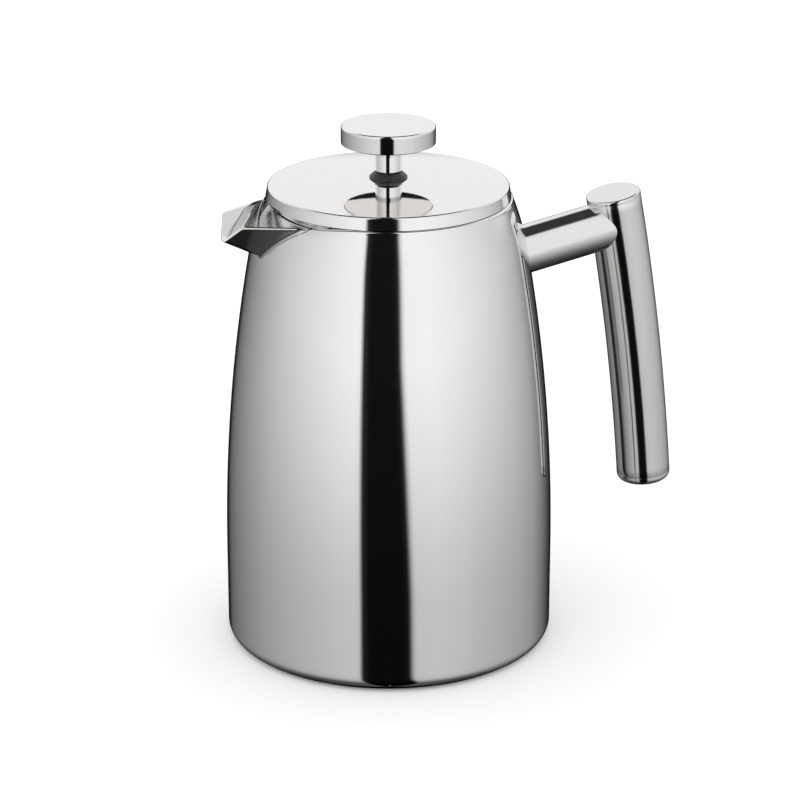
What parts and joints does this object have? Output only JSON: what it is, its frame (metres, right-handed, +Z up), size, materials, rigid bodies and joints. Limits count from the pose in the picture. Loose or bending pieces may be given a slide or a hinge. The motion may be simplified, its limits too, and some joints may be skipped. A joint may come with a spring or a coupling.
{
  "type": "french press",
  "caption": "Insulated stainless french press: tapering vessel with welded spout and open tube handle, lift-off domed lid, and a plunger with round flat knob and mesh filter stack.",
  "frame": {"origin": "centre of the vessel's foot ring, on the surface that it stands on", "axes": "+Z up along the vessel's and the plunger's axis, +X towards the handle, -X towards the pouring spout"},
  "size_m": [0.1791, 0.12, 0.1934],
  "materials": {
    "polished_steel": "mirror-polished stainless steel",
    "satin_steel": "satin stainless steel with turning marks",
    "bush_plastic": "dark grey moulded plastic",
    "rod_steel": "ground stainless rod",
    "filter_steel": "bright stamped stainless sheet",
    "woven_mesh": "fine woven stainless wire",
    "spring_steel": "drawn spring wire"
  },
  "bodies": {
    "vessel": {"outer_shell": "polished_steel", "inner_vessel": "satin_steel", "base_plate": "satin_steel", "pouring_spout": "polished_steel", "handle_grip": "polished_steel", "grip_top_cap": "polished_steel", "grip_foot_cap": "polished_steel", "handle_strut": "polished_steel"},
    "lid": {"lid_cover": "polished_steel", "lid_liner": "satin_steel", "rod_bush": "bush_plastic", "bush_nut": "bush_plastic"},
    "filter": {"cross_plate": "filter_steel", "cross_boss": "filter_steel", "mesh_screen": "woven_mesh", "spreader_plate": "filter_steel", "edge_spring": "spring_steel"},
    "rod": {"plunger_rod": "rod_steel", "rod_collar": "rod_steel", "knob_neck": "polished_steel", "knob_plate": "polished_steel", "knob_cap": "polished_steel"}
  },
  "joints": [
    {"name": "lid_lift", "type": "slide", "parent": "vessel", "child": "lid", "axis": [0, 0, 1], "range_m": [0, 0.17]},
    {"name": "plunge", "type": "slide", "parent": "lid", "child": "filter", "axis": [0, 0, 1], "range_m": [0, 0.136]},
    {"name": "knob_turn", "type": "hinge", "parent": "filter", "child": "rod", "pos_m": [0, 0, 0.1], "axis": [0, 0, 1], "continuous": true}
  ]
}
